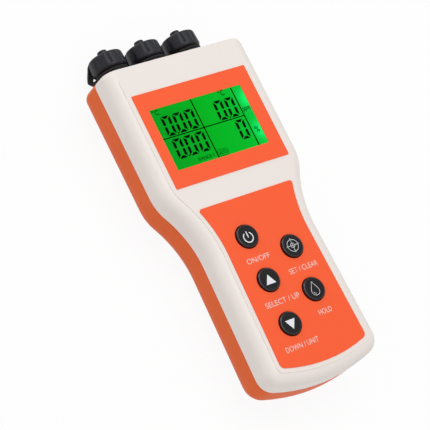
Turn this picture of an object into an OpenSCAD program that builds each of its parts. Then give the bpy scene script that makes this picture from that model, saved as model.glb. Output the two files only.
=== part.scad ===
// Handheld water quality meter with a backlit display, five keys and three
// capped probe sockets on its head end. It lies on its flat back: the origin is
// the centre of its footprint, +Z leaves the display and +Y points to the sockets.

/* [Housing] */
// Length of the two shells, without the sockets and caps
body_l = 208; // [198:1:230]
// Width across the display head
head_w = 100; // [96:0.5:108]
// Width of the grip at its narrowest
waist_w = 75.8; // [72:0.2:80]
// Width of the grip above its foot corners
foot_w = 80; // [77:0.5:84]
// Height from the flat back to the raised face
body_t = 43; // [41:0.5:50]
// Depth of the front shell down to the seam
front_depth = 15; // [14:0.5:17]
// Distance from the head end to the narrowest place
waist_from_end = 122; // [118:1:130]
// Radius of the shoulder under the display head
shoulder_r = 29; // [26:1:34]
// Radius of the hollow between shoulder and grip
hollow_r = 67.6; // [60:0.2:74]
// Plan radius of the head corners
head_corner_r = 4; // [3:0.5:7]
// Plan radius of the foot corners
foot_corner_r = 10; // [8:0.5:13]
// Radius of the bowed foot end
foot_arc_r = 113; // [100:1:140]
// Wall of both shells
wall = 2.6; // [2:0.1:3]
// Thickness of the face plate behind the overlays
plate_t = 2.5; // [2:0.1:2.6]

/* [Edges] */
// Width of the rounded edge round the face
face_edge_w = 6.2; // [5:0.1:7]
// Height of the rounded edge round the face
face_edge_h = 7.5; // [6:0.1:8.5]
// Height of the raised pad on the face
pad_step = 0.4; // [0.2:0.1:0.8]
// Distance of the raised pad from the sides
pad_inset = 6.6; // [6.4:0.1:7.6]
// Distance of the raised pad from the head end
pad_inset_end = 6.5; // [5:0.1:7]
// Rounding of the front shell at the head end
face_end_r = 1; // [0.5:0.1:2]
// Radius of the back edge along the sides and foot
back_edge_r = 19; // [17:0.5:21]
// Radius of the back edge at the head end
back_end_r = 6; // [4:0.5:7]
// Depth of the fine groove along the seam
seam = 0.35; // [0.2:0.05:0.5]

/* [Display] */
// Width of the display overlay
overlay_w = 81; // [78:0.5:83]
// Height of the display overlay
overlay_h = 60; // [58:0.5:61]
// Distance from the head end to the middle of the display overlay
overlay_from_end = 49; // [47:0.5:50]
// Thickness of both overlays
overlay_t = 0.4; // [0.2:0.05:0.8]
// Width of the display window
window_w = 65.5; // [60:0.5:67]
// Height of the display window
window_h = 38.7; // [36:0.1:40]
// Sideways place of the window in its overlay
window_x = -1.25; // [-1.5:0.05:0]
// Lengthwise place of the window in its overlay
window_y = -0.25; // [-1:0.05:1]
// Border of the display glass hidden behind the overlay
glass_border = 2.5; // [2:0.1:3]
// Thickness of the display glass
glass_t = 2.2; // [1.8:0.1:2.4]
// Thickness of the backlight
backlight_t = 3.4; // [2.5:0.1:3.6]
// Wall of the display frame
frame_wall = 1.5; // [1:0.1:1.8]

/* [Keys] */
// Diameter of a key
key_d = 14.3; // [13:0.1:15.5]
// Height of a key above its overlay
key_rise = 1.3; // [0.8:0.1:2]
// Travel of a key
key_travel = 0.8; // [0.5:0.05:1]
// Distance between the two key columns
key_cols = 24.9; // [22:0.1:26]
// Distance between key rows
key_rows = 13.8; // [13.4:0.1:14.2]
// Distance that the middle of the keys lies below the middle of the grip's face
key_shift = 1.6; // [0.5:0.1:3]
// Clearance round a key
key_gap = 0.3; // [0.3:0.05:0.6]
// Width of the key collar that catches under the face plate
key_collar = 1.2; // [0.8:0.1:1.6]
// Edge radius of a key
key_edge = 0.7; // [0.4:0.1:1]
// Distance of the key overlay from the sides of the housing
keypad_inset = 9.1; // [8:0.1:9.6]
// Distance between the display overlay and the key overlay
overlay_space = 15; // [12:0.5:17]
// Radius of the upper corners of the key overlay
keypad_corner = 1.8; // [1:0.1:3]

/* [Circuit board] */
// Thickness of the circuit board
board_t = 1.6; // [1.2:0.1:2]
// Depth of the board's upper face below the raised face
board_depth = 9.4; // [9:0.1:10]
// Clearance from the board to the shell
board_gap = 2.5; // [2:0.1:4]
// Side of a key switch
switch_w = 6; // [5:0.1:7]
// Height of a key switch body
switch_t = 3.4; // [3:0.1:3.6]
// Height of a key switch's plunger
plunger = 0.8; // [0.6:0.1:1]
// Side of the processor under the board
chip_w = 14; // [10:0.5:16]
// Height of the parts under the board
chip_t = 1.8; // [1.2:0.1:2.4]
// Distance of the other parts from the processor
part_spread = 22; // [18:0.5:23]
// Diameter of the sounder
sounder_d = 8; // [7:0.5:10]
// Height of the sounder and the plug under the board
sounder_t = 3; // [2:0.1:3.4]

/* [Housing screws] */
// Diameter of a housing screw
screw_d = 3; // [2.5:0.1:3.5]
// Diameter of a screw head
screw_head_d = 5.5; // [5:0.1:6]
// Height of a screw head
screw_head_t = 2; // [1.6:0.1:2.4]
// Depth of the screw counterbores
screw_sink = 12; // [10:0.5:14]
// Clearance of a screw in its through hole, radial
screw_gap = 0.3; // [0.2:0.05:0.4]
// Diameter of a screw pillar
pillar_d = 9; // [8.6:0.1:9.4]
// Clearance between a screw pillar and the display frame
pillar_gap = 1.6; // [1:0.1:2]

/* [Battery bay] */
// Diameter of a cell
cell_d = 14.5; // [13.5:0.1:14.8]
// Length of a cell
cell_l = 50.5; // [48:0.1:52]
// Distance from the foot to the middle of the bay
bay_from_foot = 57; // [54:0.5:59]
// Wall of the battery bay
bay_wall = 1.6; // [1.2:0.1:2]
// Room for the contacts at each end of the cells
bay_room = 3.5; // [3:0.1:4]
// Room beside and between the cells
bay_side = 1; // [0.8:0.1:1.2]
// Reach of the battery door past each side of the bay
door_side = 4.3; // [3.8:0.1:5]
// Reach of the battery door past each end of the bay
door_end = 9.25; // [8.5:0.05:10.5]
// Distance of a door screw from the door's end
door_screw_in = 4; // [3.5:0.1:4.5]
// Diameter of a door screw
door_screw_d = 2.5; // [2:0.1:3]
// Diameter of a door screw's head
door_screw_head_d = 4.6; // [4:0.1:5]
// Thickness of the battery door
door_t = 2; // [1.6:0.1:2.4]
// Depth of the door's outer face below the flat back
door_sink = 0.6; // [0.5:0.1:1]
// Clearance round the door
door_gap = 0.3; // [0.2:0.05:0.5]
// Corner radius of the door
door_r = 4; // [2:0.5:6]

/* [Probe sockets] */
// Distance between neighbouring sockets
socket_pitch = 26.4; // [25.8:0.1:27]
// Depth of the socket axes below the raised face
socket_depth = 28; // [27.5:0.1:28.6]
// Diameter of the socket collar
collar_d = 21.8; // [20:0.1:22]
// Height of the socket collar
collar_t = 6.4; // [5:0.1:7.4]
// Diameter of the socket neck that carries the thread
neck_d = 16; // [14:0.1:16.5]
// Height of the neck's end above the head end
neck_top = 14; // [13:0.1:14.2]
// Inner diameter of the socket
cavity_d = 12.8; // [11:0.1:13]
// Height of the contact carrier's face above the head end
carrier_top = 5; // [4:0.1:6]
// Length of the contact pins above their carrier
pin_l = 4; // [3:0.1:4.2]
// Length of the socket behind the head wall
socket_rear = 13; // [11:0.5:16]
// Width across the flats of the socket nut
nut_w = 20; // [18:0.5:20.5]
// Thickness of the socket nut
nut_t = 3; // [2:0.1:4]
// Clearance of the socket in the head wall, radial
socket_gap = 0.1; // [0.05:0.01:0.2]
// Width of the seal round the socket neck
seal_w = 0.7; // [0.5:0.05:0.8]
// Thickness of the seal
seal_t = 1; // [0.8:0.1:1.4]
// Depth of the seal's seat in the head wall
seat_depth = 0.3; // [0.2:0.05:0.6]
// Clearance round the seal in its seat
seal_gap = 0.15; // [0.1:0.01:0.2]
// Clearance round the socket nut
nut_room = 0.4; // [0.3:0.05:0.5]

/* [Caps] */
// Diameter of a cap at its lower rim
cap_d = 22; // [21:0.1:22.4]
// Diameter of a cap at its top
cap_top_d = 21.2; // [20:0.1:21.6]
// Clearance under and over the strap's ring, which lies between collar and cap
ring_gap = 0.3; // [0.2:0.05:0.4]
// Height of the cap's top above the head end
cap_top = 18.75; // [18:0.05:19.5]
// Thickness of the cap's top
cap_top_t = 2; // [1.6:0.1:2.2]
// Clearance between cap and neck, radial
cap_gap = 0.45; // [0.3:0.05:0.6]
// Number of grip flutes
flutes = 8; // [6:1:10]
// Radius of a grip flute
flute_r = 4; // [3:0.5:6]
// Depth of a grip flute
flute_depth = 0.8; // [0.4:0.1:0.9]
// Rounding of the cap's top edge
cap_edge = 1.6; // [0.8:0.1:2]
// Rounding of the cap's lower edge
cap_lower_edge = 2.2; // [1.5:0.1:2.4]

/* [Cap straps] */
// Thickness of the strap
strap_t = 1.2; // [1:0.1:1.4]
// Width of the strap
strap_w = 6; // [4:0.1:7]
// Clearance between strap and cap
strap_gap = 0.5; // [0.3:0.05:0.6]
// Angle of the strap's lower end from straight behind the cap
strap_turn = 44; // [36:1:54]
// Angle by which the strap twists back on its way up to the rivet
strap_twist = 30; // [0:1:34]
// Distance that the strap bulges out above the collar
strap_bulge = 2.5; // [1:0.1:3]
// Bend radius of the strap
strap_bend = 2.2; // [1.8:0.1:2.6]
// Diameter of the rivet shank
rivet_d = 3; // [2.5:0.1:3.5]
// Diameter of the rivet head on the cap
rivet_head_d = 6; // [5:0.1:7]
// Height of the rivet head
rivet_head_t = 2.15; // [1.8:0.05:3]
// Running clearance of cap and rivet, radial
rivet_gap = 0.06; // [0.03:0.01:0.1]

/* [Hidden] */
$fn = 48;

rivet_top = cap_top + strap_gap + strap_t + rivet_head_t;
cap_rim = collar_t + 2 * ring_gap + strap_t;
y_end = (body_l - rivet_top) / 2;
y_foot = y_end - body_l;
y_waist = y_end - waist_from_end;
turn = acos(1 - (head_w - waist_w) / 2 / (shoulder_r + hollow_r));
y_shoulder = y_waist + (shoulder_r + hollow_r) * sin(turn);
flare = atan((foot_w - waist_w) / 2 / (y_waist - y_foot - foot_corner_r));
z_seam = body_t - front_depth;
z_edge = body_t - pad_step - face_edge_h;
z_plate = body_t - plate_t;
z_board = body_t - board_depth;
y_display = y_end - overlay_from_end;
z_socket = body_t - socket_depth;
z_seat = seat_depth - wall;
y_bay = y_foot + bay_from_foot;
y_keypad = y_display - overlay_h / 2 - overlay_space;
y_first_key = (y_display - overlay_h / 2 + y_foot) / 2 - key_shift + 2 * key_rows;
door_z = door_sink + door_t;
bay_w = 2 * cell_d + 2 * bay_side;
bay_l = cell_l + 2 * bay_room;
door_w = bay_w + 2 * door_side;
door_l = bay_l + 2 * door_end;
door_screw_y = door_l / 2 - door_screw_in;
bay_top = door_z + 1.2 + cell_d + 0.6;
socket_x = [-socket_pitch, 0, socket_pitch];

function arc(c, r, a0, a1, n, first = 0, last = 0) =
    [for (i = [first : n - last])
        let (a = a0 + (a1 - a0) * i / n)
        [c[0] + r * cos(a), c[1] + r * sin(a)]];

// Right half of the plan outline from the head end to the foot, moved in by d on the
// sides and foot and by e at the head end, with head corners rc and foot corners rf
function half_outline(d, e, rc, rf) =
    let (
        fx = foot_w / 2 - d - rf,
        fr = foot_arc_r - d,
        fy = y_foot + foot_arc_r - sqrt(pow(fr - rf, 2) - pow(fx, 2)),
        fa = atan2(fy - y_foot - foot_arc_r, fx)
    )
    concat(
        arc([head_w / 2 - d - rc, y_end - e - rc], rc, 90, 0, 4),
        arc([head_w / 2 - shoulder_r, y_shoulder], shoulder_r - d, 0, -turn, 6),
        [for (p = arc([waist_w / 2 + hollow_r, y_waist], hollow_r + d, 180 - turn, 180 + flare, 11, 1)) p],
        arc([fx, fy], rf, flare, fa, 6),
        arc([0, y_foot + foot_arc_r], fr, fa, -90, 5, 1, 1)
    );

function ring(d, e, rc, rf) =
    let (h = half_outline(d, e, rc, rf))
    concat(h, [[0, y_foot + d]], [for (i = [len(h) - 1 : -1 : 0]) [-h[i][0], h[i][1]]]);

function front_corner(d) = max(foot_corner_r - d, 3.3);

// A closed wall through a loop of rings that all have the same count of points
module wall_through(rings) {
    n = len(rings[0]);
    m = len(rings);
    polyhedron(
        points = [for (r = rings) each r],
        faces = [for (i = [0 : m - 1], j = [0 : n - 1], half = [0, 1])
            let (k = (j + 1) % n, a = i * n, b = (i + 1) % m * n)
            half == 0 ? [a + j, b + j, b + k] : [a + j, b + k, a + k]]
    );
}

function lift(points, z) = [for (p = points) [p[0], p[1], z]];

function front_ring(d, e, z) = lift(ring(d, e, head_corner_r, front_corner(d)), z);
function back_ring(d, e, z) = lift(ring(d, e, head_corner_r, foot_corner_r), z);
function inner_ring(d, e, z) = lift(ring(d, e, head_corner_r - seam, foot_corner_r - wall), z);

// Head end inset of the back shell at height z
function end_inset(z, r) = z < r ? r - sqrt(pow(r, 2) - pow(r - z, 2)) : 0;

// The face plate inside the rounded rim of the front shell
plate_in = pad_inset + 1;
plate_in_end = pad_inset_end + 1;

module front_skin() {
    iw = face_edge_w - wall;
    ih = z_plate - z_edge;
    wall_through(concat(
        [
            front_ring(plate_in, plate_in_end, z_plate),
            front_ring(plate_in, plate_in_end, body_t),
            front_ring(pad_inset, pad_inset_end, body_t),
            front_ring(pad_inset, pad_inset_end, body_t - pad_step)
        ],
        [for (a = [90 : -15 : 0])
            front_ring(face_edge_w * (1 - cos(a)), face_end_r * (1 - cos(a)),
                z_edge + face_edge_h * sin(a))],
        [
            front_ring(0, 0, z_seam + seam),
            front_ring(seam, seam, z_seam),
            inner_ring(wall, wall, z_seam),
            inner_ring(wall, wall, z_edge)
        ],
        [for (a = [30 : 30 : 90])
            inner_ring(wall + iw * (1 - cos(a)), wall, z_edge + ih * sin(a))]
    ));
    translate([0, 0, z_plate]) linear_extrude(plate_t)
        polygon(ring(plate_in - 0.5, plate_in_end - 0.5, head_corner_r, front_corner(plate_in - 0.5)));
}

// The flat floor inside the rounded edge of the back shell
floor_in = back_edge_r + 1;
floor_in_end = back_end_r + 1;

module back_skin() {
    ri = back_edge_r - wall;
    wall_through(concat(
        [
            back_ring(floor_in, floor_in_end, 0),
            back_ring(floor_in, floor_in_end, wall),
            inner_ring(back_edge_r, back_end_r, wall)
        ],
        [for (a = [72 : -18 : 0])
            let (z = back_edge_r - ri * sin(a))
            inner_ring(back_edge_r - ri * cos(a), wall + end_inset(z - wall, back_end_r - wall), z)],
        [
            inner_ring(wall, wall, z_seam),
            inner_ring(wall - 0.7, wall - 0.7, z_seam),
            inner_ring(wall - 0.7, wall - 0.7, z_seam - 1),
            inner_ring(0.8, 0.8, z_seam - 1),
            inner_ring(0.8, 0.8, z_seam),
            back_ring(seam, seam, z_seam),
            back_ring(0, 0, z_seam - seam)
        ],
        [for (a = [0 : 10 : 90])
            let (z = back_edge_r * (1 - sin(a)))
            back_ring(back_edge_r * (1 - cos(a)), end_inset(z, back_end_r), z)]
    ));
    linear_extrude(wall) polygon(ring(floor_in - 0.5, floor_in_end - 0.5, head_corner_r, foot_corner_r));
}

// Places of the six screw pillars, four of them just clear of the display frame
pillar_in = 16.6;
frame_half = (window_h + 2 * glass_border + frame_wall * 2) / 2;
pillars = [for (s = [-1, 1]) each [
    [s * (head_w / 2 - pillar_in), y_display + window_y + frame_half + pillar_d / 2 + pillar_gap],
    [s * (head_w / 2 - pillar_in), y_display + window_y - frame_half - pillar_d / 2 - pillar_gap],
    [s * (foot_w / 2 - pillar_in), y_foot + 17]
]];

module at_pillars() {
    for (p = pillars) translate([p[0], p[1], 0]) children();
}

module at_keys() {
    for (k = [0 : 4]) translate([key_x(k), key_y(k), 0]) children();
}

function key_x(k) = (k % 2 == 0 ? -1 : 1) * key_cols / 2;
function key_y(k) = y_first_key - k * key_rows;

// A frame on socket k with its z along the socket and its y towards the back
module at_socket(k) {
    translate([socket_x[k], y_end, z_socket]) rotate([-90, 0, 0]) children();
}

module block(w, l, z0, z1) {
    translate([-w / 2, -l / 2, z0]) cube([w, l, z1 - z0]);
}

module at_display() {
    translate([window_x, y_display + window_y, 0]) children();
}

module front_shell() {
    color([0.93, 0.90, 0.87])
    difference() {
        union() {
            front_skin();
            at_pillars() translate([0, 0, z_board]) cylinder(d = pillar_d, h = z_plate - z_board + 0.5);
            at_pillars() translate([0, 0, z_seam]) cylinder(d = pillar_d - 2.4, h = z_board - z_seam + 0.5);
        }
        at_display() block(window_w + 2 * glass_border + 0.4, window_h + 2 * glass_border + 0.4,
            z_plate - 1, body_t + 1);
        at_keys() translate([0, 0, z_plate - 1]) cylinder(d = key_d + 2 * key_gap, h = plate_t + 2);
        at_pillars() translate([0, 0, z_seam - 1]) cylinder(d = screw_d, h = 11);
    }
}

// The hole for a socket, the seat of its seal and room to turn its nut
module socket_hole(k) {
    at_socket(k) {
        translate([0, 0, -2 * wall]) cylinder(d = neck_d + 2 * socket_gap, h = 3 * wall);
        translate([0, 0, z_seat - seal_t - 0.2])
            cylinder(d = neck_d + 2 * seal_w + 2 * seal_gap, h = seal_t + 0.2);
        translate([0, 0, z_seat - seal_t - nut_t - 1])
            cylinder(d = (nut_w + 2 * nut_room) / cos(30), h = nut_t + 1.2, $fn = 6);
    }
}

module back_shell() {
    color([0.96, 0.42, 0.22])
    difference() {
        union() {
            back_skin();
            at_pillars() translate([0, 0, 2.9]) cylinder(d = pillar_d, h = z_seam - 2.9);
            translate([0, y_bay, 0])
                block(door_w + 2 * door_gap + 2, door_l + 2 * door_gap + 2, wall - 0.6, door_z + 2);
            translate([0, y_bay, 0])
                block(bay_w + 2 * bay_wall, bay_l + 2 * bay_wall, door_z + 1, bay_top + bay_wall);
            for (s = [-1, 1]) translate([0, y_bay + s * door_screw_y, door_z + 1])
                cylinder(d = 2.8 * door_screw_d, h = 7);
        }
        translate([0, y_bay, 0])
            rounded_block(door_w + 2 * door_gap, door_l + 2 * door_gap, -1, door_z, door_r + door_gap);
        translate([0, y_bay, 0]) block(bay_w, bay_l, -1, bay_top);
        translate([0, y_bay, 0]) gasket_block(0.1, 0);
        for (s = [-1, 1]) translate([0, y_bay + s * door_screw_y, 0])
            cylinder(d = door_screw_d, h = door_z + 6);
        at_pillars() translate([0, 0, -1]) cylinder(d = screw_head_d + 0.8, h = screw_sink + 1);
        at_pillars() translate([0, 0, -1]) cylinder(d = screw_d + 2 * screw_gap, h = z_seam + 2);
        for (k = [0 : 2]) socket_hole(k);
    }
}

module rounded_block(w, l, z0, z1, r) {
    translate([0, 0, z0]) linear_extrude(z1 - z0) union() {
        square([w - 2 * r, l], center = true);
        square([w, l - 2 * r], center = true);
        for (x = [-1, 1], y = [-1, 1])
            translate([x * (w / 2 - r), y * (l / 2 - r)]) circle(r = r);
    }
}

// Rubber ring between the door and its ledge, or with more, the groove for it
module gasket_block(more, z_cut) {
    w = bay_w + 2.4;
    l = bay_l + 2.4;
    difference() {
        block(w + 2 + 2 * more, l + 2 + 2 * more, door_z - z_cut, door_z + 0.8);
        block(w - 2 * more, l - 2 * more, door_z - z_cut - 1, door_z + 2);
    }
}

module shell_gasket() {
    color([0.15, 0.15, 0.16])
    translate([0, 0, z_seam - 1])
    linear_extrude(1) difference() {
        polygon(ring(0.9, 0.9, head_corner_r - seam, foot_corner_r - wall));
        polygon(ring(wall - 0.8, wall - 0.8, head_corner_r - seam, foot_corner_r - wall));
    }
}

module shell_screws() {
    color("silver")
    at_pillars() union() {
        translate([0, 0, screw_sink - screw_head_t]) cylinder(d = screw_head_d, h = screw_head_t);
        translate([0, 0, screw_sink - 0.5]) cylinder(d = screw_d, h = z_seam + 9.5 - screw_sink);
    }
}

module display_overlay() {
    color([0.98, 0.39, 0.21])
    difference() {
        translate([0, y_display, 0]) rounded_block(overlay_w, overlay_h, body_t, body_t + overlay_t, 0.7);
        at_display() block(window_w, window_h, body_t - 1, body_t + overlay_t + 1);
    }
}

module display_lens() {
    color([0.85, 0.95, 0.88, 0.4])
    at_display() block(window_w - 0.2, window_h - 0.2, body_t, body_t + overlay_t);
}

module keypad_overlay() {
    xk = waist_w / 2 - keypad_inset + (hollow_r + keypad_inset)
        - sqrt(pow(hollow_r + keypad_inset, 2) - pow(y_keypad - keypad_corner - y_waist, 2));
    h = half_outline(keypad_inset, wall, head_corner_r, 3.3);
    right = concat(
        arc([xk - keypad_corner, y_keypad - keypad_corner], keypad_corner, 90, 0, 5),
        [for (p = h) if (p[1] < y_keypad - keypad_corner - 1.5) p]
    );
    pts = concat(right, [[0, y_foot + keypad_inset]],
        [for (i = [len(right) - 1 : -1 : 0]) [-right[i][0], right[i][1]]]);
    color([0.98, 0.39, 0.21])
    difference() {
        translate([0, 0, body_t]) linear_extrude(overlay_t) polygon(pts);
        at_keys() translate([0, 0, body_t - 1]) cylinder(d = key_d + 2 * key_gap, h = overlay_t + 2);
    }
}

module key(k) {
    top = body_t + overlay_t + key_rise;
    r = key_d / 2;
    zc = z_plate - 0.2;
    stem = z_board + switch_t + plunger + 0.1 + key_travel;
    color([0.16, 0.16, 0.17])
    translate([key_x(k), key_y(k), 0])
    rotate_extrude() polygon(concat(
        [[0, stem], [2.2, stem], [2.2, zc - 1.2], [r + key_collar, zc - 1.2], [r + key_collar, zc], [r, zc]],
        arc([r - key_edge, top - key_edge], key_edge, 0, 90, 5),
        [[0, top]]
    ));
}

module button_power() key(0);
module button_target() key(1);
module button_up() key(2);
module button_drop() key(3);
module button_down() key(4);

module lcd_glass() {
    color([0.05, 0.7, 0.1])
    at_display() block(window_w + 2 * glass_border, window_h + 2 * glass_border,
        body_t - 0.1 - glass_t, body_t - 0.1);
}

module lcd_backlight() {
    z1 = body_t - 0.1 - glass_t;
    color([0.9, 0.95, 0.85])
    at_display() block(window_w + 2 * glass_border, window_h + 2 * glass_border, z1 - backlight_t, z1);
}

module lcd_frame() {
    z1 = body_t - 0.1 - glass_t - backlight_t;
    w = window_w + 2 * glass_border;
    l = window_h + 2 * glass_border;
    color("white")
    at_display() difference() {
        block(w + 2 * frame_wall, l + 2 * frame_wall, z_board, z_plate - 0.3);
        block(w + 0.2, l + 0.2, z1, z_plate + 1);
        block(w - 6, l - 6, z_board - 1, z_plate + 1);
    }
}

module main_board() {
    d = wall + board_gap;
    h = ring(d, wall + 16, head_corner_r, front_corner(d));
    color([0.05, 0.35, 0.15])
    difference() {
        translate([0, 0, z_board - board_t]) linear_extrude(board_t) polygon(h);
        at_pillars() translate([0, 0, z_board - board_t - 1]) cylinder(d = pillar_d - 2.4 + 0.4, h = board_t + 2);
    }
}

module board_parts() {
    z0 = z_board - board_t;
    color([0.12, 0.12, 0.13])
    translate([0, y_display, 0]) {
        block(chip_w, chip_w, z0 - chip_t, z0);
        for (s = [-1, 1]) translate([s * part_spread, chip_w / 2, 0])
            block(0.6 * chip_w, 0.7 * chip_w, z0 - chip_t, z0);
        translate([0, -part_spread, 0]) block(chip_w, chip_w / 2, z0 - sounder_t, z0);
        translate([0, part_spread, z0 - sounder_t]) cylinder(d = sounder_d, h = sounder_t);
    }
}

module key_switches() {
    color([0.75, 0.75, 0.77])
    at_keys() union() {
        block(switch_w, switch_w, z_board, z_board + switch_t);
        translate([0, 0, z_board + switch_t - 0.5]) cylinder(d = switch_w / 2, h = plunger + 0.5);
    }
}

module cell(side) {
    color([0.2, 0.35, 0.6])
    translate([side * (cell_d / 2 + 0.3), y_bay - cell_l / 2 + side * 0.8, door_z + 1.2 + cell_d / 2])
    rotate([90, 0, side < 0 ? 180 : 0])
    translate([0, 0, side < 0 ? 0 : -cell_l])
    union() {
        cylinder(d = cell_d, h = cell_l - 1.2);
        translate([0, 0, cell_l - 1.7]) cylinder(d = 5.2, h = 1.7);
    }
}

module battery_a() cell(-1);
module battery_b() cell(1);

module battery_contacts() {
    color("gold")
    for (s = [-1, 1]) translate([0, y_bay, 0]) {
        translate([0, s * (bay_l / 2 - 0.2), 0]) block(2 * cell_d - 2, 0.4, door_z + 3, bay_top - 2);
    }
}

module battery_door() {
    color([0.96, 0.42, 0.22])
    translate([0, y_bay, 0]) difference() {
        rounded_block(door_w, door_l, door_sink, door_z, door_r);
        for (s = [-1, 1]) translate([0, s * door_screw_y, -1]) {
            cylinder(d = door_screw_d + 0.5, h = door_z + 2);
            cylinder(d = door_screw_head_d + 0.4, h = door_sink + 2.2);
        }
    }
}

module door_gasket() {
    color([0.15, 0.15, 0.16])
    translate([0, y_bay, 0]) gasket_block(0, 0);
}

module door_screws() {
    color("silver")
    for (s = [-1, 1]) translate([0, y_bay + s * door_screw_y, 0]) union() {
        translate([0, 0, door_sink + 0.2]) cylinder(d = door_screw_head_d, h = 1);
        translate([0, 0, door_sink + 1]) cylinder(d = door_screw_d, h = door_t + 4);
    }
}

module socket(k) {
    color([0.13, 0.13, 0.15])
    at_socket(k) rotate_extrude() polygon([
        [0, carrier_top - 3], [0, carrier_top], [cavity_d / 2, carrier_top], [cavity_d / 2, neck_top],
        [neck_d / 2 - 0.5, neck_top], [neck_d / 2, neck_top - 0.5], [neck_d / 2, collar_t],
        [collar_d / 2 - 0.6, collar_t], [collar_d / 2, collar_t - 0.6], [collar_d / 2, 0.6],
        [collar_d / 2 - 0.6, 0], [neck_d / 2, 0], [neck_d / 2, -socket_rear], [neck_d / 2 - 1.8, -socket_rear],
        [neck_d / 2 - 1.8, carrier_top - 3]
    ]);
}

module socket_left() socket(0);
module socket_mid() socket(1);
module socket_right() socket(2);

module socket_seals() {
    color([0.2, 0.2, 0.21])
    for (k = [0 : 2]) at_socket(k) translate([0, 0, z_seat - seal_t]) difference() {
        cylinder(d = neck_d + 2 * seal_w, h = seal_t);
        translate([0, 0, -1]) cylinder(d = neck_d + 0.1, h = seal_t + 2);
    }
}

module socket_nuts() {
    color("silver")
    for (k = [0 : 2]) at_socket(k) translate([0, 0, z_seat - seal_t - nut_t]) difference() {
        cylinder(d = nut_w / cos(30), h = nut_t, $fn = 6);
        translate([0, 0, -1]) cylinder(d = neck_d + 0.1, h = nut_t + 2);
    }
}

module pins(k) {
    color("gold")
    at_socket(k) for (a = [0 : 90 : 270]) rotate([0, 0, a + 45]) translate([3.2, 0, carrier_top])
        cylinder(d = 1.2, h = pin_l);
}

module pins_left() pins(0);
module pins_mid() pins(1);
module pins_right() pins(2);

module cap(k) {
    h = cap_top - cap_rim;
    r0 = cap_d / 2;
    r1 = cap_top_d / 2;
    ri = neck_d / 2 + cap_gap;
    color([0.16, 0.16, 0.18])
    at_socket(k) difference() {
        rotate_extrude() polygon(concat(
            [[0, cap_rim]],
            arc([r0 - cap_lower_edge, cap_rim + cap_lower_edge], cap_lower_edge, -90, 0, 5),
            arc([r1 - cap_edge, cap_top - cap_edge], cap_edge, 0, 90, 6),
            [[0, cap_top]]
        ));
        translate([0, 0, cap_rim - 1]) cylinder(r = ri, h = h - cap_top_t + 1);
        translate([0, 0, cap_rim]) cylinder(d = rivet_d + 2 * rivet_gap, h = h + 1);
        for (i = [0 : flutes - 1]) rotate([0, 0, (i + 0.5) * 360 / flutes])
            translate([r0 + flute_r - flute_depth, 0, cap_rim + cap_lower_edge + 0.6]) cylinder(r = flute_r, h = h);
    }
}

module cap_left() cap(0);
module cap_mid() cap(1);
module cap_right() cap(2);

module rivet(k) {
    z0 = cap_top - cap_top_t;
    zs = cap_top + strap_gap + strap_t;
    r = rivet_head_d / 2;
    color([0.14, 0.14, 0.15])
    at_socket(k) rotate_extrude() polygon(concat(
        [[0, z0 - 0.9], [2.6, z0 - 0.9], [2.6, z0 - 0.15], [rivet_d / 2, z0 - 0.15], [rivet_d / 2, zs], [r, zs]],
        arc([r - 0.8, rivet_top - 0.8], 0.8, 0, 90, 5),
        [[0, rivet_top]]
    ));
}

module rivet_left() rivet(0);
module rivet_mid() rivet(1);
module rivet_right() rivet(2);

// The strap's edge points in a plane through the cap's axis, as radius and height
function strap_edge(upper, lower, r, lean) = concat(
    [[0, upper[1] + r]],
    arc(upper, r, 90, lean, 5),
    [for (i = [1 : 7]) let (t = i / 8)
        (1 - t) * (upper + r * [cos(lean), sin(lean)]) + t * (lower + r * [cos(lean), sin(lean)])],
    arc(lower, r, lean, -90, 6),
    [[neck_d / 2 + 2 * cap_gap, lower[1] - r]]
);

// Turn of the band at step i of its length, from its upper end to its lower one
function strap_angle(i) =
    let (t = min(max((i - 3) / 14, 0), 1))
    strap_turn - strap_twist * (1 - t * t * (3 - 2 * t));

function turned(p, side, a) =
    [p[0] * cos(a) - side * sin(a), p[0] * sin(a) + side * cos(a), p[1]];

module strap_band(outer, inner) {
    n = len(outer);
    polyhedron(
        points = [for (i = [0 : n - 1]) let (a = 90 + strap_angle(i)) each [
            turned(outer[i], strap_w / 2, a), turned(outer[i], -strap_w / 2, a),
            turned(inner[i], -strap_w / 2, a), turned(inner[i], strap_w / 2, a)
        ]],
        faces = concat(
            [[0, 1, 2], [0, 2, 3]],
            [for (i = [0 : n - 2], j = [0 : 3], half = [0, 1])
                let (a = 4 * i, b = a + 4, k = (j + 1) % 4)
                half == 0 ? [a + j, b + j, b + k] : [a + j, b + k, a + k]],
            [[4 * n - 2, 4 * n - 3, 4 * n - 4], [4 * n - 1, 4 * n - 2, 4 * n - 4]]
        )
    );
}

module strap(k) {
    lo = collar_t + ring_gap;
    hi = cap_top + strap_gap + strap_t;
    rc = strap_bend;
    upper = [cap_d / 2 + strap_gap + strap_t - rc, hi - rc];
    lower = [upper[0] + strap_bulge, lo + rc];
    lean = atan(strap_bulge / (upper[1] - lower[1]));
    color([0.10, 0.10, 0.11])
    at_socket(k) difference() {
        union() {
            strap_band(strap_edge(upper, lower, rc, lean), strap_edge(upper, lower, rc - strap_t, lean));
            translate([0, 0, lo]) cylinder(d = collar_d - 1, h = strap_t);
            translate([0, 0, hi - strap_t]) cylinder(d = strap_w + 1, h = strap_t);
        }
        translate([0, 0, lo - 1]) cylinder(d = neck_d + 2 * cap_gap, h = strap_t + 2);
        translate([0, 0, hi - strap_t - 1]) cylinder(d = rivet_d + 0.1, h = strap_t + 2);
    }
}

module strap_left() strap(0);
module strap_mid() strap(1);
module strap_right() strap(2);

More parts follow.
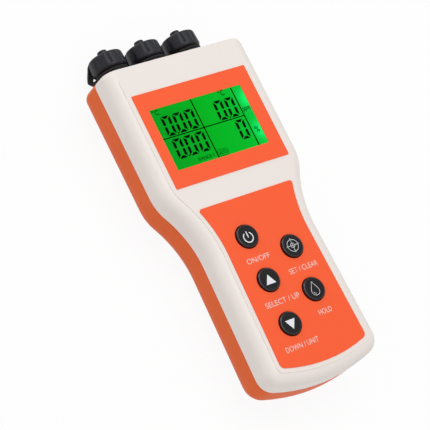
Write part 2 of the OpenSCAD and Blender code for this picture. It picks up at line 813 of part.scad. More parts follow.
front_shell();
back_shell();
shell_gasket();
shell_screws();
display_overlay();
display_lens();
keypad_overlay();
button_power();
button_target();
button_up();
button_drop();
button_down();
lcd_glass();
lcd_backlight();
lcd_frame();
main_board();
board_parts();
key_switches();
battery_a();
battery_b();
battery_contacts();
battery_door();
door_gasket();
door_screws();
socket_left();
socket_mid();
socket_right();
socket_seals();
socket_nuts();
pins_left();
pins_mid();
pins_right();
cap_left();
cap_mid();
cap_right();
rivet_left();
rivet_mid();
rivet_right();
strap_left();
strap_mid();
strap_right();
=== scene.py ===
"""Handheld water quality meter: the finishes, display, key symbols and stage round its solid parts."""

import math

import bmesh
import bpy
from bpy.props import FloatProperty, FloatVectorProperty
from mathutils import Matrix, Vector


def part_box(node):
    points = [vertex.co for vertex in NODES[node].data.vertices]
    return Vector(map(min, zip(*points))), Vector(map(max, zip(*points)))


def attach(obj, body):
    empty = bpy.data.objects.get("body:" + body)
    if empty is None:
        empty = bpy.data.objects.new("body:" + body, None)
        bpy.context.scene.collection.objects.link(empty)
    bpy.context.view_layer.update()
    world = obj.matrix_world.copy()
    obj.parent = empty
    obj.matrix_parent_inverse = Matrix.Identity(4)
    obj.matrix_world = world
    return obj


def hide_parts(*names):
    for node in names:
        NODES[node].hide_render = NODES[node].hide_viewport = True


bl_info = {
    "name": "Water quality meter",
    "version": (1, 0, 0),
    "blender": (4, 5, 0),
    "location": "View3D > Sidebar > Meter",
    "description": "Dresses a handheld water quality meter and lights it",
    "category": "Object",
}

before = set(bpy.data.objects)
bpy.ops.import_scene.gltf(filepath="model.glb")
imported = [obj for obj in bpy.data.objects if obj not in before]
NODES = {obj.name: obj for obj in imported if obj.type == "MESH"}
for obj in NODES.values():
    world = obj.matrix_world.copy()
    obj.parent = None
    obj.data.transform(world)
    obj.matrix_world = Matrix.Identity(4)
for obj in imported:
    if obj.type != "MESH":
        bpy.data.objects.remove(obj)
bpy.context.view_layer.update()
MM = 0.001
WHITE = (1.0, 1.0, 1.0)
# One step of the grid that gives the places of printed and lit marks on the face
GRID = 1.304 * MM
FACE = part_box("keypad_overlay")[1].z
OVERLAY_LOW, OVERLAY_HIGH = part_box("display_overlay")
WINDOW_LOW, WINDOW_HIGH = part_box("display_lens")
DISPLAY = (OVERLAY_LOW + OVERLAY_HIGH) / 2
GLASS_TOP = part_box("lcd_glass")[1].z
# The thin layer over the glass that holds the display's dark shapes
DRAWN_LOW = GLASS_TOP + 0.005 * MM
DRAWN_HIGH = GLASS_TOP + 0.05 * MM
# Line width of the finer key symbols, as a share of the full one
FINE = 0.42


def linear(red, green, blue):
    """A colour picked on screen, 0 to 255, as the linear colour a shader takes."""
    shares = (red / 255, green / 255, blue / 255)
    return tuple(c / 12.92 if c <= 0.04045 else ((c + 0.055) / 1.055) ** 2.4 for c in shares)


class MeterColours(bpy.types.PropertyGroup):
    """Colours of the meter's visible pieces."""

    pale_shell: FloatVectorProperty(
        name="Front shell", description="Moulded front shell",
        subtype="COLOR", default=linear(232, 224, 218), min=0, max=1,
    )
    orange_shell: FloatVectorProperty(
        name="Back shell", description="Moulded back shell",
        subtype="COLOR", default=linear(226, 102, 50), min=0, max=1,
    )
    overlay: FloatVectorProperty(
        name="Overlays", description="Printed film on the face",
        subtype="COLOR", default=linear(246, 93, 48), min=0, max=1,
    )
    key: FloatVectorProperty(
        name="Keys", description="Glossy keys",
        subtype="COLOR", default=linear(12, 9, 12), min=0, max=1,
    )
    symbol: FloatVectorProperty(
        name="Key symbols", description="Pale print on the keys",
        subtype="COLOR", default=linear(228, 230, 235), min=0, max=1,
    )
    lettering: FloatVectorProperty(
        name="Lettering", description="Pale print on the overlay",
        subtype="COLOR", default=linear(250, 196, 186), min=0, max=1,
    )
    cap: FloatVectorProperty(
        name="Caps", description="Socket caps",
        subtype="COLOR", default=linear(22, 23, 31), min=0, max=1,
    )
    rubber: FloatVectorProperty(
        name="Rubber", description="Straps and seals",
        subtype="COLOR", default=linear(16, 16, 18), min=0, max=1,
    )
    lit_middle: FloatVectorProperty(
        name="Display middle", description="Lit display, middle",
        subtype="COLOR", default=linear(0, 182, 30), min=0, max=1,
    )
    # The display's left colour is painted shade: its green is darkened to stand in for a shadow on the left
    # of the display.
    lit_left_painted_shade: FloatVectorProperty(
        name="Display left", description="Lit display, far from the lamps",
        subtype="COLOR", default=linear(2, 160, 30), min=0, max=1,
    )
    lit_right: FloatVectorProperty(
        name="Display right", description="Lit display, beside the lamps",
        subtype="COLOR", default=linear(20, 250, 112), min=0, max=1,
    )


class MeterSizes(bpy.types.PropertyGroup):
    """Sizes of what is printed or lit."""

    segment: FloatProperty(
        name="Segment", description="Width of a digit's bars", default=2.0 * MM, unit="LENGTH"
    )
    rule: FloatProperty(
        name="Rules", description="Width of the lines between the readings", default=0.8 * MM, unit="LENGTH"
    )
    print_depth: FloatProperty(
        name="Print", description="Thickness of printed marks", default=0.04 * MM, unit="LENGTH"
    )
    symbol_line: FloatProperty(
        name="Symbol line", description="Line width of the key symbols", default=0.6 * MM, unit="LENGTH"
    )
    letter_height: FloatProperty(
        name="Letters", description="Height of the lettering", default=3.3 * MM, unit="LENGTH"
    )


class Value:
    """A shader value. A sum written with it adds the Math nodes."""

    def __init__(self, tree, socket):
        self.tree = tree
        self.socket = socket

    def calc(self, operation, *values):
        return self.tree.add("ShaderNodeMath", {"operation": operation}, dict(enumerate(values)))

    def __add__(self, other):
        return self.calc("ADD", self, other)

    __radd__ = __add__

    def __sub__(self, other):
        return self.calc("SUBTRACT", self, other)

    def __rsub__(self, other):
        return self.calc("SUBTRACT", other, self)

    def __mul__(self, other):
        return self.calc("MULTIPLY", self, other)

    __rmul__ = __mul__

    def __truediv__(self, other):
        return self.calc("DIVIDE", self, other)

    def __pow__(self, other):
        return self.calc("POWER", self, other)

    def exponent(self):
        return self.calc("EXPONENT", self)

    def above(self, limit):
        """1 where the value is over the limit, 0 elsewhere."""
        return self.calc("GREATER_THAN", self, limit)

    def kept(self):
        """The value held between 0 and 1."""
        value = self.calc("ADD", self, 0.0)
        value.socket.node.use_clamp = True
        return value


class ShaderTree:
    """The shader nodes of a material or of the world, with one way to add a node."""

    def __init__(self, owner, end):
        owner.use_nodes = True
        self.node_tree = owner.node_tree
        self.node_tree.nodes.clear()
        self.end = self.node_tree.nodes.new(end)

    def add(self, kind, settings=None, values=None, out=0):
        node = self.node_tree.nodes.new(kind)
        for name, setting in (settings or {}).items():
            setattr(node, name, setting)
        for name, value in (values or {}).items():
            self.join(value, node.inputs[name])
        return Value(self, node.outputs[out])

    def join(self, value, socket):
        if isinstance(value, Value):
            self.node_tree.links.new(value.socket, socket)
        elif socket.type == "RGBA":
            socket.default_value = (*value[:3], 1)
        else:
            socket.default_value = value

    def show(self, shader):
        self.join(shader, self.end.inputs["Surface"])

    def mix_shaders(self, share, first, second):
        """first where share is 0, second where it is 1."""
        return self.add("ShaderNodeMixShader", values={0: share, 1: first, 2: second})

    def looked_at(self):
        """1 where it is looked at, directly, mirrored or through glass, and 0 where it gives light."""
        views = ("Is Camera Ray", "Is Glossy Ray", "Is Transmission Ray")
        seen, mirrored, through = (self.add("ShaderNodeLightPath", out=view) for view in views)
        return (seen + mirrored + through).kept()


class Look(ShaderTree):
    """A material, with the textures that its finish is made of."""

    def __init__(self, name):
        self.material = bpy.data.materials.new(name)
        super().__init__(self.material, "ShaderNodeOutputMaterial")
        self.place = self.add("ShaderNodeTexCoord", out="Object")

    def noise(self, scale, detail, stretch=None):
        place = self.place
        if stretch:
            place = self.add("ShaderNodeMapping", values={"Vector": self.place, "Scale": stretch})
        return self.add("ShaderNodeTexNoise", values={"Vector": place, "Scale": scale, "Detail": detail})

    def axis(self, name):
        return self.add("ShaderNodeSeparateXYZ", values={0: self.place}, out=name)

    def blend(self, share, first, second):
        """The colour first where share is 0, second where it is 1."""
        return self.add("ShaderNodeMix", {"data_type": "RGBA"}, {0: share, 6: first, 7: second}, out=2)

    def relief(self, height, depth, strength=1.0):
        bump = {"Height": height, "Distance": depth, "Strength": strength}
        return self.add("ShaderNodeBump", values=bump)

    def surface(self, **values):
        """Ends the material in a shader whose sockets are given by their names."""
        sockets = {}
        for name, value in values.items():
            sockets[name.replace("_", " ").title().replace("Ior", "IOR")] = value
        self.show(self.add("ShaderNodeBsdfPrincipled", values=sockets))
        return self.material


def paint(material, *names):
    """Gives solid parts their material."""
    for name in names:
        slots = NODES[name].data.materials
        slots.clear()
        slots.append(material)


def shade(colour, share):
    """A colour made darker or lighter, up to white."""
    return tuple(min(1, c * share) for c in colour[:3])


def moulded(name, colour, roughness=0.42, grain=0.03 * MM, grain_scale=2600.0, shine=0.35):
    """Moulded plastic with a fine spark-eroded grain and a faint flow mottle."""
    look = Look(name)
    fine = look.noise(grain_scale, 3)
    broad = look.noise(38, 4)
    mottle = (broad * 0.7 + fine * 0.3).kept()
    return look.surface(
        base_color=look.blend(mottle, shade(colour, 0.965), shade(colour, 1.02)),
        roughness=roughness - 0.05 + fine * 0.1,
        normal=look.relief(fine, grain, 0.5),
        specular_ior_level=shine,
    )


def printed_film(name, colour):
    """Polycarbonate film printed from behind, with a fine velvet grain on its face."""
    look = Look(name)
    velvet = look.noise(5200, 2)
    sheet = look.noise(24, 3)
    return look.surface(
        base_color=look.blend(sheet, shade(colour, 0.97), colour),
        roughness=0.44 + velvet * 0.12,
        normal=look.relief(velvet, 0.01 * MM, 0.4),
        specular_ior_level=0.2,
    )


def glossy_key(name, colour, node):
    """Black plastic with hairline handling marks and a softly rounded rim polished by use."""
    look = Look(name)
    hair = look.noise(900, 2, (1, 9, 1))
    smear = look.noise(160, 3)
    low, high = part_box(node)
    # The node's box reaches out to the collar that holds the key under the face plate
    hidden_collar = 1.2 * MM
    key_radius = (high.x - low.x) / 2 - hidden_collar
    rim_width = 1.2 * MM
    rim_drop = 0.45 * MM
    across = look.axis("X") - (low.x + high.x) / 2
    along = look.axis("Y") - (low.y + high.y) / 2
    out = (across * across + along * along) ** 0.5
    rim = ((out - (key_radius - rim_width)) / rim_width).kept()
    polished = (rim * 4.0).kept()
    top = look.blend(smear, shade(colour, 0.85), colour)
    worn = (0.04, 0.04, 0.044)
    return look.surface(
        base_color=look.blend(polished, top, worn),
        metallic=polished,
        roughness=0.38 + hair * 0.06 + smear * 0.04 - polished * 0.22,
        normal=look.relief(rim * rim * -1.0, rim_drop),
        specular_ior_level=0.17,
    )


def soft_rubber(name, colour):
    """Matt black rubber with a dusty bloom."""
    look = Look(name)
    bloom = look.noise(420, 4)
    dusty = tuple(c + 0.012 for c in colour[:3])
    return look.surface(
        base_color=look.blend((bloom * 1.4 - 0.4).kept(), colour, dusty),
        roughness=0.68 + bloom * 0.14,
        normal=look.relief(look.noise(3000, 2), 0.02 * MM, 0.5),
        specular_ior_level=0.3,
    )


def turned_metal(name, colour, roughness=0.3):
    """Plated metal with fine turning lines."""
    look = Look(name)
    lines = look.noise(2200, 2, (1, 1, 8))
    return look.surface(
        base_color=look.blend(lines, shade(colour, 0.85), colour),
        metallic=1.0,
        roughness=roughness - 0.06 + lines * 0.14,
    )


def circuit_board(name):
    """Green solder resist over copper tracks."""
    look = Look(name)
    track, between, gap = WHITE, (0.4, 0.4, 0.4), (0, 0, 0)
    tracks = look.add(
        "ShaderNodeTexBrick",
        values={
            "Vector": look.place,
            "Scale": 90.0,
            "Color1": track,
            "Color2": between,
            "Mortar": gap,
            "Mortar Size": 0.02,
        },
    )
    return look.surface(
        base_color=look.blend(tracks, (0.004, 0.05, 0.015), (0.01, 0.11, 0.03)),
        roughness=0.35,
    )


def battery_wrap(name):
    """Two-tone sleeve of a cell, a little scuffed."""
    look = Look(name)
    wave = look.add("ShaderNodeTexWave", {"bands_direction": "Y"}, {"Vector": look.place, "Scale": 6.0})
    scuffs = look.noise(300, 3) * 0.2
    return look.surface(
        base_color=look.blend(
            (wave.above(0.5) * 0.9 + scuffs).kept(), (0.02, 0.05, 0.16), (0.05, 0.10, 0.30)
        ),
        roughness=0.32,
    )


def lit_display(name, colours):
    """Green backlight that is brightest beside its two lamps at the right edge, and darker towards the
    left, where painted shade stands in for a shadow.
    """
    look = Look(name)
    across = ((look.axis("X") - WINDOW_LOW.x) / (WINDOW_HIGH.x - WINDOW_LOW.x)).kept()
    up = look.axis("Y") - DISPLAY.y
    inwards = WINDOW_HIGH.x - look.axis("X")
    upper_lamp = 10.0 * MM
    lower_lamp = -10.5 * MM
    glow_height = 5.4 * MM
    glow_reach = 4.7 * MM

    def glow(lamp):
        rise = (up - lamp) / glow_height
        reach = inwards / glow_reach
        return ((rise * rise + reach * reach) * -1.0).exponent()

    edge = across ** 5.0 * 0.2
    # Painted shade: the emitted green darkens from the middle towards the left edge, standing in for a
    # shadow.
    field = look.blend((across * 1.7).kept(), colours.lit_left_painted_shade, colours.lit_middle)
    near_lamps = (glow(upper_lamp) * 0.9 + glow(lower_lamp) + edge).kept()
    cloud = look.noise(60, 2)
    return look.surface(
        base_color=look.blend(cloud, (0.0, 0.006, 0.001), (0.0, 0.012, 0.002)),
        roughness=0.35,
        specular_ior_level=0.02,
        emission_color=look.blend(near_lamps, field, colours.lit_right),
        emission_strength=1.0,
    )


def clear_film(name):
    """Clear window with a faint tint and a little dust in its surface."""
    look = Look(name)
    dust = look.noise(1500, 2)
    return look.surface(
        base_color=look.blend(dust, (0.01, 0.02, 0.01), (0.02, 0.04, 0.02)),
        roughness=0.4 + dust * 0.05,
        specular_ior_level=0.0,
        alpha=0.02,
    )


def ink(name, colour, roughness=0.5, shine=0.2):
    """Screen-printed ink with the pinholes of the mesh."""
    look = Look(name)
    pinholes = look.noise(6000, 1)
    return look.surface(
        base_color=look.blend(pinholes, shade(colour, 0.93), colour),
        roughness=roughness,
        specular_ior_level=shine,
    )


def make_object(mesh, name, material):
    """A bmesh made into an object of one material."""
    data = bpy.data.meshes.new(name)
    mesh.to_mesh(data)
    mesh.free()
    data.materials.append(material)
    made = bpy.data.objects.new(name, data)
    bpy.context.scene.collection.objects.link(made)
    return made


def finish_piece(mesh, name, material, body):
    """A bmesh made into a piece that rides on a body."""
    piece = make_object(mesh, name, material)
    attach(piece, body)
    return piece


def smooth_copy(name, node, material, body):
    """A copy of a faceted solid part with its facets shaded as the one curve they stand for."""
    weld, sliver = 2e-6, 1e-6
    sharp_angle = math.radians(34)
    mesh = bmesh.new()
    mesh.from_mesh(NODES[node].data)
    bmesh.ops.remove_doubles(mesh, verts=mesh.verts, dist=weld)
    bmesh.ops.dissolve_degenerate(mesh, edges=mesh.edges, dist=sliver)
    for face in mesh.faces:
        face.smooth = True
        face.material_index = 0
    for edge in mesh.edges:
        edge.smooth = len(edge.link_faces) == 2 and edge.calc_face_angle(0.0) < sharp_angle
    piece = finish_piece(mesh, name, material, body)
    shading = piece.modifiers.new("even_shading", "WEIGHTED_NORMAL")
    shading.keep_sharp = True
    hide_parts(node)
    return piece


def pour(part, mesh):
    """Moves the whole of one bmesh into another."""
    data = bpy.data.meshes.new("part")
    part.to_mesh(data)
    part.free()
    mesh.from_mesh(data)
    bpy.data.meshes.remove(data)


def tidy(mesh):
    """Joins doubled corners and turns the faces outwards."""
    weld = 1e-7
    bmesh.ops.remove_doubles(mesh, verts=mesh.verts, dist=weld)
    bmesh.ops.recalc_face_normals(mesh, faces=mesh.faces)


def raise_faces(mesh, faces, height):
    """Gives flat faces a thickness, with the faces themselves kept as its foot."""
    raised = bmesh.ops.extrude_face_region(mesh, geom=faces, use_keep_orig=True)
    tops = [v for v in raised["geom"] if isinstance(v, bmesh.types.BMVert)]
    bmesh.ops.translate(mesh, verts=tops, vec=(0, 0, height))


def plate(mesh, outline, low, high):
    """Adds a flat plate between two heights, its outline given by its corners."""
    face = mesh.faces.new([mesh.verts.new((x, y, low)) for x, y in outline])
    face.normal_update()
    if face.normal.z > 0:
        face.normal_flip()
    raise_faces(mesh, [face], high - low)


def bar(mesh, x0, y0, x1, y1, low, high):
    """Adds a rectangular plate by two of its corners."""
    plate(mesh, [(x0, y0), (x1, y0), (x1, y1), (x0, y1)], low, high)


def bent_band(mesh, centre, radius, width, start, sweep, low, high, steps=32):
    """Adds a band along an arc: a line across it spun round the arc's centre, then raised."""
    band = bmesh.new()
    x, y = centre
    ends = []
    for r in (radius - width / 2, radius + width / 2):
        ends.append(band.verts.new((x + r * math.cos(start), y + r * math.sin(start), low)))
    line = band.edges.new(ends)
    closed = math.isclose(sweep, 2 * math.pi)
    bmesh.ops.spin(
        band,
        geom=[*ends, line],
        cent=(x, y, low),
        axis=(0, 0, 1),
        angle=sweep,
        steps=steps,
        use_merge=closed,
    )
    raise_faces(band, list(band.faces), high - low)
    pour(band, mesh)


def on_grid(x, y):
    """A place on the face, given in grid steps from the middle of the display overlay."""
    return DISPLAY.x + x * GRID, DISPLAY.y + y * GRID


def digit(mesh, left, foot, width, height, thick, low, high):
    """Adds a slanted nought of six bars, whose mitred ends leave a slit at each corner."""
    lean = 0.035
    waist = height / 2
    slit = 0.3 * thick
    depth = 0.85 * thick
    flat = [(slit, 0), (width - slit, 0), (width - slit - depth, depth), (slit + depth, depth)]
    side = 0.9 * thick
    start = 0.25 * thick
    post = [
        (0, start),
        (side, start + depth),
        (side, waist - side / 2),
        (side / 2, waist - 0.12 * thick),
        (0, waist - 0.4 * thick),
    ]
    for shape in (flat, post, [(width - x, y) for x, y in post]):
        for upper in (False, True):
            points = [(x, height - y if upper else y) for x, y in shape]
            plate(mesh, [(left + x + y * lean, foot + y) for x, y in points], low, high)


def printed_word(mesh, text, foot, width, height, low, high):
    """Adds a word as thin solid letters, its foot centred on a point, as tall as its tallest letter."""
    curve = bpy.data.curves.new("word", "FONT")
    curve.body = text
    stroke_gain = 0.012
    curve.offset = stroke_gain
    letters = bpy.data.objects.new("word", curve)
    bpy.context.scene.collection.objects.link(letters)
    bpy.context.view_layer.update()
    flat = bpy.data.meshes.new_from_object(letters.evaluated_get(bpy.context.evaluated_depsgraph_get()))
    bpy.data.objects.remove(letters)
    bpy.data.curves.remove(curve)
    word = bmesh.new()
    word.from_mesh(flat)
    bpy.data.meshes.remove(flat)
    weld = 1e-5
    bmesh.ops.remove_doubles(word, verts=word.verts, dist=weld)
    xs = [v.co.x for v in word.verts]
    ys = [v.co.y for v in word.verts]
    wide = width / (max(xs) - min(xs))
    tall = height / (max(ys) - min(ys))
    middle = (max(xs) + min(xs)) / 2
    for v in word.verts:
        v.co = Vector((foot[0] + (v.co.x - middle) * wide, foot[1] + (v.co.y - min(ys)) * tall, low))
    raise_faces(word, list(word.faces), high - low)
    bmesh.ops.recalc_face_normals(word, faces=word.faces)
    pour(word, mesh)


def display_readings(segment):
    """The noughts of the four readings, with their points."""
    mesh = bmesh.new()
    upper_row, lower_row = 0.95, -10.35
    width, height = 4.85 * GRID, 9.5 * GRID
    places = [(left, foot) for foot in (upper_row, lower_row) for left in (-22.55, -16.45, -10.25)]
    places += [(6.0, upper_row), (12.15, upper_row), (12.15, lower_row)]
    for place in places:
        digit(mesh, *on_grid(*place), width, height, segment, DRAWN_LOW, DRAWN_HIGH)
    point = 0.7 * GRID
    for place in ((-16.95, upper_row), (-16.95, -10.2), (11.55, upper_row)):
        x, y = on_grid(*place)
        bar(mesh, x - point / 2, y, x + point / 2, y + point, DRAWN_LOW, DRAWN_HIGH)
    tidy(mesh)
    return mesh


def display_rules(width):
    """The lines that part the readings."""
    mesh = bmesh.new()
    half = width / 2
    thin = half * 0.8
    left = WINDOW_LOW.x + 0.3 * MM
    foot, head = WINDOW_LOW.y + 0.2 * MM, WINDOW_HIGH.y - 0.2 * MM
    middle, y = on_grid(-3.55, 0.3)
    right = on_grid(18.9, 0)[0]
    for x in (middle, right):
        bar(mesh, x - half, foot, x + half, head, DRAWN_LOW, DRAWN_HIGH)
    for start, end in ((left, middle - half), (middle + half, right - half)):
        bar(mesh, start, y - thin, end, y + thin, DRAWN_LOW, DRAWN_HIGH)
    tidy(mesh)
    return mesh


def display_marks():
    """The small units and words of the display, the last one in a frame."""
    mesh = bmesh.new()
    # Each word with the middle of its foot, its width and its height, in grid steps
    for text, place, wide, tall in (
        ("\u00b0C", (-23.2, 11.7), 3.8, 2.6),
        ("\u00b0C", (12.9, 12.0), 3.2, 2.9),
        ("ppm", (21.7, 1.6), 4.2, 2.3),
        ("%", (21.9, -9.0), 2.3, 3.0),
        ("RANGE 1", (-9.4, -13.8), 8.4, 1.7),
        ("AUTO", (-0.3, -13.9), 4.0, 1.8),
    ):
        printed_word(mesh, text, on_grid(*place), wide * GRID, tall * GRID, DRAWN_LOW, DRAWN_HIGH)
    outline = bmesh.new()
    half = 0.125 * GRID
    left, right = -2.9, 2.3
    foot, head = -14.6, -11.5
    corner = 0.3
    lines = [((left + corner, y), (right - corner, y)) for y in (foot, head)]
    lines += [((x, foot + corner), (x, head - corner)) for x in (left, right)]
    for start, end in lines:
        x0, y0 = on_grid(*start)
        x1, y1 = on_grid(*end)
        bar(outline, x0 - half, y0 - half, x1 + half, y1 + half, DRAWN_LOW, DRAWN_HIGH)
    tidy(outline)
    pour(outline, mesh)
    return mesh


def power_mark(mesh, x, y, line, low, high):
    """A ring that is open at the top, with an upright bar in its gap."""
    stroke = line * 1.1
    gap = math.radians(66)
    y -= 0.9 * MM
    start = math.radians(90) + gap / 2
    bent_band(mesh, (x, y), 2.35 * GRID, stroke, start, math.radians(360) - gap, low, high)
    bar(mesh, x - stroke / 2, y - 0.15 * GRID, x + stroke / 2, y + 2.8 * GRID, low, high)
    tidy(mesh)


def target_mark(mesh, x, y, line, low, high):
    """Two rings and a cross of four arms."""
    thin = line * FINE
    arm_length = 3.4 * GRID
    for radius, steps in ((2.8 * GRID, 40), (1.05 * GRID, 28)):
        bent_band(mesh, (x, y), radius, thin, 0, 2 * math.pi, low, high, steps)
    for quarter in range(4):
        arm = bmesh.new()
        bar(arm, thin / 2, -thin / 2, arm_length, thin / 2, low, high)
        turn = Matrix.Rotation(quarter * math.pi / 2, 3, "Z")
        bmesh.ops.rotate(arm, verts=arm.verts, cent=(0, 0, 0), matrix=turn)
        bmesh.ops.translate(arm, verts=arm.verts, vec=(x, y, 0))
        pour(arm, mesh)
    bmesh.ops.recalc_face_normals(mesh, faces=mesh.faces)


def arrow(mesh, x, y, way, low, high):
    """A triangle that points to the display where way is 1, and to the foot where it is -1."""
    half_width = 2.6 * GRID
    rise = way * 2.2 * GRID
    plate(mesh, [(x - half_width, y - rise), (x + half_width, y - rise), (x, y + rise)], low, high)
    tidy(mesh)


def up_arrow(mesh, x, y, line, low, high):
    """The full triangle of the upper arrow key, drawn without a line."""
    arrow(mesh, x, y, 1, low, high)


def down_arrow(mesh, x, y, line, low, high):
    """The full triangle of the lower arrow key, a little below its middle."""
    arrow(mesh, x, y - 0.8 * MM, -1, low, high)


def drop_mark(mesh, x, y, line, low, high):
    """The outline of a drop with a short curved line inside."""
    thin = line * FINE
    belly = 2.05 * GRID
    tip = 3.25 * GRID
    sink = -1.15 * GRID
    lean = math.acos(belly / (tip - sink))
    middle = Vector((x, y + sink))
    around = 2 * math.pi - 2 * lean
    bent_band(mesh, middle, belly, thin, math.pi / 2 + lean, around, low, high, 36)
    point = Vector((x, y + tip))
    spread = Vector((0, thin * 0.9))
    for side in (-1, 1):
        outwards = Vector((side * math.sin(lean), math.cos(lean)))
        foot = middle + outwards * belly
        across = outwards * thin / 2
        plate(mesh, [foot - across, foot + across, point + spread, point - spread], low, high)
    bent_band(mesh, middle, belly * 0.58, thin, math.radians(190), math.radians(75), low, high, 14)
    bmesh.ops.recalc_face_normals(mesh, faces=mesh.faces)


def studio_floor():
    """A wide floor that looks nearly white and keeps the meter's shadow."""
    half_side = 4.0
    whiteness = 0.92
    look = Look("studio_floor")
    paper = look.add("ShaderNodeBsdfDiffuse", values={"Color": (0.86, 0.86, 0.86)})
    white = look.add("ShaderNodeEmission", values={"Color": WHITE, "Strength": 1.0})
    look.show(look.mix_shaders(look.looked_at() * whiteness, paper, white))
    mesh = bmesh.new()
    bmesh.ops.create_grid(mesh, x_segments=1, y_segments=1, size=half_side)
    make_object(mesh, "floor", look.material)


def studio_world(scene):
    """A world that looks white and lights the meter at a softer level."""
    level = 0.56
    scene.world = bpy.data.worlds.new("studio")
    sky = ShaderTree(scene.world, "ShaderNodeOutputWorld")
    soft = sky.add("ShaderNodeBackground", values={"Color": WHITE, "Strength": level})
    white = sky.add("ShaderNodeBackground", values={"Color": WHITE, "Strength": 1.0})
    sky.show(sky.mix_shaders(sky.looked_at(), soft, white))


def studio_lamps(scene):
    """Three round lamps turned to the meter."""
    meter_middle = Vector((0, 0, 20 * MM))
    # Each lamp's place and width in metres, and its power in watts
    for name, place, width, power in (
        ("soft_above", (0.15, 0.42, 1.5), 1.1, 9.9),
        ("soft_left", (-0.6, -1.12, 1.05), 0.6, 3.5),
        ("rim_light", (-0.6, 1.2, 0.3), 0.5, 2.6),
    ):
        lamp = bpy.data.lights.new(name, "AREA")
        lamp.shape = "DISK"
        lamp.size = width
        lamp.energy = power
        light = bpy.data.objects.new(name, lamp)
        light.location = place
        light.rotation_euler = (meter_middle - Vector(place)).to_track_quat("-Z", "Y").to_euler()
        scene.collection.objects.link(light)


def photo_camera(scene):
    """A camera at the photograph's angle."""
    azimuth = math.radians(-159.504)
    elevation = math.radians(53.951)
    roll = math.radians(46.756)
    quarter = math.radians(90)
    upright = Matrix.Rotation(azimuth + quarter, 4, "Z") @ Matrix.Rotation(quarter - elevation, 4, "X")
    turn = upright @ Matrix.Rotation(roll, 4, "Z")
    face_middle = Vector((DISPLAY.x, DISPLAY.y, FACE))
    # How far the camera stands right of, above and back from the face's middle, along its own axes
    stand = Vector((2.171, -51.119, 1167.715)) * MM
    lens = bpy.data.cameras.new("camera")
    lens.sensor_width = 36.0
    lens.lens = 170.75
    lens.clip_start = 0.05
    lens.clip_end = 20.0
    camera = bpy.data.objects.new("camera", lens)
    camera.matrix_world = Matrix.Translation(face_middle + turn.to_3x3() @ stand) @ turn
    scene.collection.objects.link(camera)
    scene.camera = camera


class METER_OT_stage(bpy.types.Operator):
    """Makes the pale floor, the soft lights and the camera"""

    bl_idname = "meter.stage"
    bl_label = "Stage"

    def execute(self, context):
        scene = context.scene
        scene.view_settings.view_transform = "Standard"
        studio_floor()
        studio_world(scene)
        studio_lamps(scene)
        photo_camera(scene)
        return {"FINISHED"}


class METER_OT_shells(bpy.types.Operator):
    """Finishes the two shells, their seal and the battery door"""

    bl_idname = "meter.shells"
    bl_label = "Shells"

    def execute(self, context):
        colours = context.scene.meter_colours
        pale = moulded("pale_shell", colours.pale_shell)
        orange = moulded("orange_shell", colours.orange_shell, roughness=0.5, shine=0.12)
        paint(pale, "front_shell")
        paint(orange, "back_shell", "battery_door")
        smooth_copy("front_housing", "front_shell", pale, "housing")
        smooth_copy("back_housing", "back_shell", orange, "housing")
        paint(soft_rubber("seal_rubber", colours.rubber), "shell_gasket", "door_gasket", "socket_seals")
        steel = turned_metal("screw_steel", linear(200, 202, 206))
        paint(steel, "shell_screws", "door_screws", "socket_nuts")
        return {"FINISHED"}


class METER_OT_face(bpy.types.Operator):
    """Finishes the overlays and prints the lettering under the keys"""

    bl_idname = "meter.face"
    bl_label = "Overlays and lettering"

    def execute(self, context):
        colours = context.scene.meter_colours
        sizes = context.scene.meter_sizes
        film = printed_film("overlay_film", colours.overlay)
        paint(film, "display_overlay", "keypad_overlay")
        pale = ink("letter_ink", colours.lettering)
        top = FACE + sizes.print_depth
        # Each word with the middle of its foot and its width, in grid steps
        for name, text, place, width in (
            ("letters_power", "ON/OFF", (-9.2, -64.6), 12.4),
            ("letters_target", "SET / CLEAR", (10.1, -74.9), 15.8),
            ("letters_up", "SELECT / UP", (-7.6, -85.5), 18.6),
            ("letters_drop", "HOLD", (10.1, -96.1), 7.2),
            ("letters_down", "DOWN / UNIT", (-8.7, -106.4), 18.0),
        ):
            mesh = bmesh.new()
            printed_word(mesh, text, on_grid(*place), width * GRID, sizes.letter_height, FACE, top)
            finish_piece(mesh, name, pale, "housing")
        return {"FINISHED"}


class METER_OT_display(bpy.types.Operator):
    """Lights the display and draws its readings"""

    bl_idname = "meter.display"
    bl_label = "Display"

    def execute(self, context):
        colours = context.scene.meter_colours
        sizes = context.scene.meter_sizes
        paint(lit_display("lit_display", colours), "lcd_glass")
        paint(clear_film("clear_window"), "display_lens")
        dark = ink("liquid_crystal_ink", linear(2, 18, 6), shine=0.0)
        faint = ink("liquid_crystal_faint", linear(2, 82, 18), shine=0.0)
        finish_piece(display_readings(sizes.segment), "display_readings", dark, "housing")
        finish_piece(display_rules(sizes.rule), "display_rules", dark, "housing")
        finish_piece(display_marks(), "display_marks", faint, "housing")
        return {"FINISHED"}


class METER_OT_keys(bpy.types.Operator):
    """Finishes the keys and draws their symbols"""

    bl_idname = "meter.keys"
    bl_label = "Keys"

    def execute(self, context):
        colours = context.scene.meter_colours
        sizes = context.scene.meter_sizes
        pale = ink("symbol_ink", colours.symbol, roughness=0.4)
        for key, draw in (
            ("power", power_mark),
            ("target", target_mark),
            ("up", up_arrow),
            ("down", down_arrow),
            ("drop", drop_mark),
        ):
            button = "button_" + key
            paint(glossy_key("key_gloss_" + key, colours.key, button), button)
            low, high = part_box(button)
            middle = (low + high) / 2
            mesh = bmesh.new()
            draw(mesh, middle.x, middle.y, sizes.symbol_line, high.z, high.z + sizes.print_depth)
            finish_piece(mesh, "symbol_" + key, pale, "key_" + key)
        return {"FINISHED"}


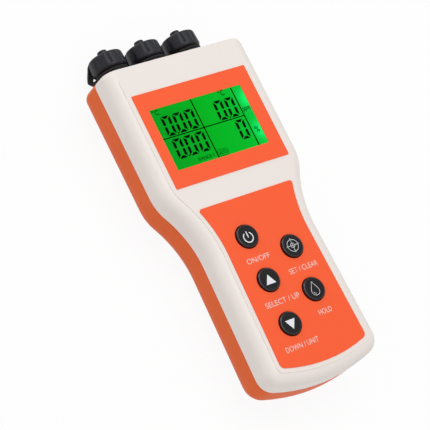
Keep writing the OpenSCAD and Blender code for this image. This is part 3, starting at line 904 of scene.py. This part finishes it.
class METER_OT_caps(bpy.types.Operator):
    """Finishes the sockets, caps, rivets and straps"""

    bl_idname = "meter.caps"
    bl_label = "Sockets and caps"

    def execute(self, context):
        colours = context.scene.meter_colours
        cap = moulded("cap_plastic", colours.cap, grain=0.05 * MM, grain_scale=1500.0, shine=0.28)
        collar = moulded("collar_plastic", shade(colours.cap, 0.8), roughness=0.34, grain_scale=1900.0)
        strap = soft_rubber("strap_rubber", colours.rubber)
        gold = turned_metal("contact_gold", linear(222, 178, 92), roughness=0.25)
        for side in ("left", "mid", "right"):
            paint(cap, "cap_" + side, "rivet_" + side)
            paint(collar, "socket_" + side)
            paint(strap, "strap_" + side)
            smooth_copy("tether_" + side, "strap_" + side, strap, "hanger_" + side)
            paint(gold, "pins_" + side)
        return {"FINISHED"}


class METER_OT_inside(bpy.types.Operator):
    """Finishes the pieces inside the housing"""

    bl_idname = "meter.inside"
    bl_label = "Inside"

    def execute(self, context):
        white = moulded("frame_plastic", linear(236, 238, 230), roughness=0.4)
        paint(white, "lcd_backlight", "lcd_frame")
        paint(circuit_board("board_resist"), "main_board")
        paint(moulded("chip_plastic", linear(38, 38, 40), roughness=0.5), "board_parts")
        paint(turned_metal("switch_steel", linear(190, 192, 196)), "key_switches")
        paint(battery_wrap("cell_sleeve"), "battery_a", "battery_b")
        paint(turned_metal("spring_brass", linear(214, 176, 100)), "battery_contacts")
        return {"FINISHED"}


class METER_PT_panel(bpy.types.Panel):
    """Lists the meter's steps in the sidebar"""

    bl_idname = "METER_PT_panel"
    bl_label = "Water quality meter"
    bl_space_type = "VIEW_3D"
    bl_region_type = "UI"
    bl_category = "Meter"

    def draw(self, context):
        for step in STEPS:
            self.layout.operator(step.bl_idname)


STEPS = (
    METER_OT_stage,
    METER_OT_shells,
    METER_OT_face,
    METER_OT_display,
    METER_OT_keys,
    METER_OT_caps,
    METER_OT_inside,
)
CLASSES = (MeterColours, MeterSizes, *STEPS, METER_PT_panel)


def register():
    for cls in CLASSES:
        bpy.utils.register_class(cls)
    bpy.types.Scene.meter_colours = bpy.props.PointerProperty(type=MeterColours)
    bpy.types.Scene.meter_sizes = bpy.props.PointerProperty(type=MeterSizes)


def unregister():
    del bpy.types.Scene.meter_sizes
    del bpy.types.Scene.meter_colours
    for cls in reversed(CLASSES):
        bpy.utils.unregister_class(cls)


def main():
    register()
    bpy.ops.meter.stage()
    bpy.ops.meter.shells()
    bpy.ops.meter.face()
    bpy.ops.meter.display()
    bpy.ops.meter.keys()
    bpy.ops.meter.caps()
    bpy.ops.meter.inside()


if __name__ == "__main__":
    main()
